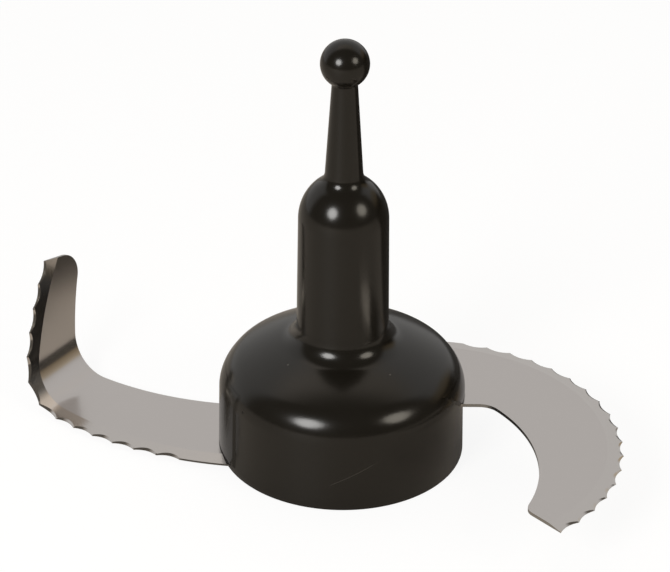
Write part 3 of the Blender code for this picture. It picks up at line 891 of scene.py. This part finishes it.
    def core_out(self, mesh: BMesh, lower: BladeModel, upper: SickleBlade) -> None:
        """Sinks the core-out pockets into the base rim: shallow below the upper blade, none below the lower.

        Args:
            mesh: The turned hub.
            lower: The lower blade.
            upper: The upper blade.
        """
        rib = degrees(self.rib / self.pocket_inner)
        deep, shallow = self.skirt_height - self.pocket_roof, upper.top - upper.sheet - self.pocket_roof
        edge, back = lower.edge_radius - lower.edge_centre[1], lower.back_centre[1] - lower.back_radius
        reach, back_reach, front = (degrees(asin(min(1.0, y / self.pocket_inner))) for y in (edge, back, upper.flank))
        fields = [
            (front, self.shallow_end, shallow),
            (self.shallow_end + rib, 180 - back_reach - rib, deep),
            (180 + reach + rib, 360 + front - rib, deep),
        ]
        for start, end, roof in fields:
            count = max(1, ceil((end - start) / self.pocket_span))
            span = (end - start - rib * (count - 1)) / count
            for i in range(count):
                first = start + i * (span + rib)
                self.sink(mesh, first, first + span, roof)

    def sink(self, mesh: BMesh, start: float, end: float, roof: float) -> None:
        """Sinks one pocket.

        Args:
            mesh: The turned hub.
            start: Direction of its first end.
            end: Direction of its last end.
            roof: Height of its roof.
        """
        chosen = []
        for face in mesh.faces:
            spot = face.calc_center_median()
            on_rim = abs(spot.z) <= TINY and self.pocket_inner < spot.xy.length < self.pocket_outer
            if on_rim and 0 < (bearing(spot.xy) - start) % 360 < end - start:
                chosen.append(face)
        grown = bmesh.ops.extrude_face_region(mesh, geom=chosen)
        verts = [v for v in grown["geom"] if isinstance(v, BMVert)]
        bmesh.ops.translate(mesh, verts=verts, vec=(0, 0, roof))
        bmesh.ops.delete(mesh, geom=chosen, context="FACES")

    def build(self, lower: BladeModel, upper: SickleBlade, bush: "BushModel") -> Piece:
        """Turns the hub and adds its pads and pockets.

        Args:
            lower: The lower blade.
            upper: The upper blade.
            bush: The drive bush.

        Returns:
            The hub.
        """
        mesh = bmesh.new()
        verts = [mesh.verts.new((r, 0, z)) for r, z in self.outer_profile() + self.inner_profile(bush)]
        line = verts + [mesh.edges.new(pair) for pair in zip(verts, verts[1:])]
        bmesh.ops.spin(mesh, geom=line, axis=(0, 0, 1), angle=2 * pi, steps=self.turn_steps, use_merge=True)
        bmesh.ops.remove_doubles(mesh, verts=mesh.verts[:], dist=TINY)
        bmesh.ops.recalc_face_normals(mesh, faces=mesh.faces[:])
        self.core_out(mesh, lower, upper)
        self.raise_pad(mesh, lower.top, LOWER_PAD)
        self.raise_pad(mesh, upper.top, UPPER_PAD)
        bmesh.ops.recalc_face_normals(mesh, faces=mesh.faces[:])
        return finished("hub_moulding", mesh)


@dataclass
class BushModel:
    """The steel bush with two drive flats."""

    radius: float = 0.0102
    length: float = 0.0300
    bore_radius: float = 0.0080
    outer_flat: float = 0.0092
    bore_flat: float = 0.0066
    collar_radius: float = 0.0128
    collar_thickness: float = 0.0025
    chamfer: float = 0.0005
    gap: float = 0.0003
    sides: int = 144

    def place(self, verts: list[BMVert], order: bmesh.types.BMLayerItem, loop: tuple[float, ...]) -> None:
        """Puts one closed loop with two flats in its place.

        Args:
            verts: The loop's vertices.
            order: Layer that holds each vertex's number round the bush.
            loop: Radius of the round stretches, distance of the flats from the axis, and height.
        """
        radius, flat, height = loop
        for vert in verts:
            x, y = polar(radius, 360 * vert[order] / self.sides)
            vert.co = (max(-flat, min(flat, x)), y, height)

    def build(self, foot: float) -> Piece:
        """Extrudes one loop from the collar up and back down through the bore.

        Args:
            foot: Height of its lower end.

        Returns:
            The bush.
        """
        mesh = bmesh.new()
        cut, collar_top, top = self.chamfer, foot + self.collar_thickness, foot + self.length
        collar, outer = (self.collar_radius, self.collar_radius), (self.radius, self.outer_flat)
        bore = (self.bore_radius, self.bore_flat)
        steps = [
            (collar, -cut, foot), (collar, 0, foot + cut), (collar, 0, collar_top), (outer, 0, collar_top),
            (outer, 0, top - cut), (outer, -cut, top), (bore, cut, top), (bore, 0, top - cut), (bore, 0, foot + cut),
            (bore, cut, foot),
        ]
        loops = [(radius + more, flat + more, height) for (radius, flat), more, height in steps]
        order = mesh.verts.layers.int.new("order")
        verts = bmesh.ops.create_circle(mesh, segments=self.sides, radius=self.radius)["verts"]
        for i, vert in enumerate(verts):
            vert[order] = i
        edges = mesh.edges[:]
        self.place(verts, order, loops[0])
        for loop in loops[1:] + loops[:1]:
            grown = bmesh.ops.extrude_edge_only(mesh, edges=edges)["geom"]
            verts = [v for v in grown if isinstance(v, BMVert)]
            edges = [e for e in grown if isinstance(e, BMEdge) and all(v in verts for v in e.verts)]
            self.place(verts, order, loop)
        bmesh.ops.remove_doubles(mesh, verts=mesh.verts[:], dist=TINY)
        bmesh.ops.recalc_face_normals(mesh, faces=mesh.faces[:])
        return finished("bush", mesh)


# Studio


@dataclass(frozen=True)
class Lamp:
    """A soft lamp that faces the rotor."""

    name: str
    direction: Place  # towards the lamp, as the camera sees it
    power: float  # in watts
    tint: Colour


LAMPS = (
    Lamp("left_lamp", (-0.476, 0.075, 0.876), 10.0, (1.0, 0.99, 0.97)),
    Lamp("right_lamp", (0.7185, 0.20, 0.666), 3.9, (1.0, 0.93, 0.80)),
)


@dataclass
class Studio:
    """Pale floor, soft light and the camera.

    Pairs of numbers are the two ends of a gradual change. In the room they are parts of the unit direction.
    """

    camera_at: Place = (0.0, -0.83884, 0.54437)
    aim: Place = (-0.00245, 0.0, 0.05697)
    roll: float = 0.433
    lens: float = 170.58
    sensor: float = 36.0
    clip: Point = (0.05, 20.0)
    lamp_distance: float = 1.3
    lamp_size: float = 0.56
    floor_radius: float = 2.5
    floor_gap: float = 0.0002  # below the base rim
    floor_roughness: float = 0.6
    paper: Colour = (0.92, 0.91, 0.89)  # the floor as the camera sees it
    table: Colour = (0.58, 0.52, 0.45)  # the floor for all other light
    painted_shadow: Colour = (0.04, 0.035, 0.03)  # painted shadow of the rotor, which darkens the floor behind it on the right
    painted_shadow_x: Point = (0.000, 0.030)  # it comes in towards the right
    painted_shadow_y: Point = (0.030, 0.045)  # and towards the back
    glow: float = 1.06  # strength of the plain white that is mixed into the floor
    floor_white: float = 0.85  # its share in what the camera sees of the floor
    floor_mirrored: float = 0.06  # its share in reflections of the floor
    wall: Colour = (0.66, 0.65, 0.635)
    right_wall: tuple[tuple[float, Colour], ...] = (  # by Z, from the horizon up
        (0.0, (0.02, 0.017, 0.013)), (0.17, (0.03, 0.025, 0.02)), (0.22, (0.42, 0.31, 0.18)),
        (0.42, (0.58, 0.49, 0.36)), (0.50, wall),
    )
    right_from: Point = (0.60, 0.75)  # X over which the right wall takes over
    ceiling: tuple[Colour, Colour] = ((1.00, 0.90, 0.80), (0.70, 0.62, 0.52))  # on the left and the right
    ceiling_turn: Point = (-0.4, 0.5)  # X over which its colour changes
    ceiling_from: Point = (0.76, 0.88)  # Z over which it takes over from the walls
    near_side: Colour = (0.11, 0.10, 0.085)  # the room on the camera's side
    behind: Point = (0.06, 0.26)  # Y over which that side ends

    def place_camera(self) -> Matrix:
        """Sets the camera up and returns its turn."""
        up = Vector((0, 0, 1))
        at, aim = Vector(self.camera_at) + up * BASE, Vector(self.aim) + up * BASE
        forward = (aim - at).normalized()
        right = forward.cross(up).normalized()
        level = Matrix((right, right.cross(forward), -forward)).transposed()
        facing = level @ Matrix.Rotation(radians(self.roll), 3, "Z")
        data = bpy.data.cameras.new("camera")
        data.lens, data.sensor_width = self.lens, self.sensor
        data.clip_start, data.clip_end = self.clip
        camera = bpy.data.objects.new("camera", data)
        camera.matrix_world = Matrix.Translation(at) @ facing.to_4x4()
        bpy.context.scene.collection.objects.link(camera)
        bpy.context.scene.camera = camera
        return facing

    def hang_lamp(self, lamp: Lamp, facing: Matrix) -> None:
        """Hangs a lamp.

        Args:
            lamp: The lamp.
            facing: The camera's turn.
        """
        data = bpy.data.lights.new(lamp.name, "AREA")
        data.shape, data.size = "DISK", self.lamp_size
        data.energy, data.color = lamp.power, lamp.tint
        hung = bpy.data.objects.new(lamp.name, data)
        towards = (facing @ Vector(lamp.direction)).normalized()
        spot = Vector((0, 0, BASE + self.aim[2])) + towards * self.lamp_distance
        hung.matrix_world = Matrix.Translation(spot) @ towards.to_track_quat("Z", "Y").to_matrix().to_4x4()
        hung.visible_camera = False
        bpy.context.scene.collection.objects.link(hung)

    def lay_floor(self) -> None:
        """A round pale floor that reads white and keeps the rotor's shadow, with a painted shadow added behind the
        rotor on the right.
        """
        mesh = bmesh.new()
        bmesh.ops.create_circle(mesh, cap_ends=True, segments=96, radius=self.floor_radius)
        floor = finished("floor", mesh)
        material, tree, shader = principled("pale_floor")
        shader.inputs["Roughness"].default_value = self.floor_roughness
        path = add(tree, "LightPath").outputs
        x, y, _ = add(tree, "SeparateXYZ", {0: add(tree, "TexCoord").outputs["Object"]}).outputs
        # Painted shadow: behind the rotor on the right the floor turns dark in reflections and bounced light, and mixes
        # in less white there.
        painted_shadow = calc(tree, "MULTIPLY", remap(tree, x, self.painted_shadow_x), remap(tree, y, self.painted_shadow_y))
        paper = blend(tree, path["Is Camera Ray"], blend(tree, painted_shadow, self.table, self.painted_shadow), self.paper)
        tree.links.new(paper, shader.inputs["Base Color"])
        mirrored = calc(tree, "MAXIMUM", path["Is Glossy Ray"], path["Is Transmission Ray"])
        mirrored = calc(tree, "MULTIPLY", mirrored, calc(tree, "SUBTRACT", 1.0, painted_shadow))
        seen = calc(tree, "MULTIPLY", path["Is Camera Ray"], self.floor_white)
        share = calc(tree, "MAXIMUM", seen, calc(tree, "MULTIPLY", mirrored, self.floor_mirrored))
        white = add(tree, "Emission", {"Color": (1.0, 1.0, 1.0, 1.0), "Strength": self.glow})
        mixed = add(tree, "MixShader", {0: share, 1: shader.outputs[0], 2: white.outputs[0]})
        tree.links.new(mixed.outputs[0], tree.nodes["Material Output"].inputs["Surface"])
        floor.location.z = -self.floor_gap
        floor.data.materials.append(material)

    def light_world(self) -> None:
        """Pale room behind and above, dark room on the camera's side and low down on the right."""
        world = bpy.data.worlds.new("room")
        bpy.context.scene.world = world
        world.use_nodes = True
        tree = world.node_tree
        x, y, z = add(tree, "SeparateXYZ", {0: add(tree, "TexCoord").outputs["Generated"]}).outputs
        right = add(tree, "ValToRGB", {0: z})
        for i, (height, colour) in enumerate(self.right_wall):
            stop = right.color_ramp.elements[i] if i < 2 else right.color_ramp.elements.new(height)
            stop.position, stop.color = height, (*colour, 1.0)
        sides = blend(tree, remap(tree, x, self.right_from), self.wall, right.outputs[0])
        ceiling = blend(tree, remap(tree, x, self.ceiling_turn), *self.ceiling)
        above = blend(tree, remap(tree, z, self.ceiling_from), sides, ceiling)
        lit = blend(tree, remap(tree, y, self.behind), self.near_side, above)
        camera_ray = add(tree, "LightPath").outputs["Is Camera Ray"]
        tree.links.new(blend(tree, camera_ray, lit, (1.0, 1.0, 1.0)), tree.nodes["Background"].inputs["Color"])

    def set_up(self) -> None:
        """Builds the whole studio."""
        bpy.context.scene.view_settings.view_transform = "Standard"
        facing = self.place_camera()
        for lamp in LAMPS:
            self.hang_lamp(lamp, facing)
        self.lay_floor()
        self.light_world()


def main() -> None:
    """Builds the rotor's pieces and the studio round them."""
    logging.basicConfig(level=logging.INFO, format="%(name)s: %(message)s")
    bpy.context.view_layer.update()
    Studio().set_up()
    lower = CurledBlade(
        name="lower_blade", top=0.0024, edge_centre=(-0.0220, 0.0842), edge_radius=0.1010,
        back_centre=(-0.0259, 0.1074), back_radius=0.0896, root=-92.3, back_root=-90.0,
        teeth=-106.3, tip=-163.9, cut=44.5, corner=0.0065,
    )
    upper = SickleBlade(
        name="upper_blade", top=0.0201, edge_centre=(0.0245, -0.0300), edge_radius=0.0610,
        back_centre=(0.0074, -0.0434), back_radius=0.0518, root=94.0, back_root=0.0,
        teeth=76.7, tip=-49.7, cut=132.2, corner=0.0040,
    )
    bush, hub = BushModel(), HubModel()
    dressed(hub.build(lower, upper, bush), "hub", [BlackMoulding().material()])
    dressed(bush.build(hub.roof_top), "drive_bush", [BUSH_STEEL.material()])
    for blade in (lower, upper):
        steels = [steel.material() for steel in (BRIGHT_SHEET, GROUND_STEEL, CUT_STEEL)]  # in the order of Surface
        dressed(blade.build(), blade.name, steels)


if __name__ == "__main__":
    main()
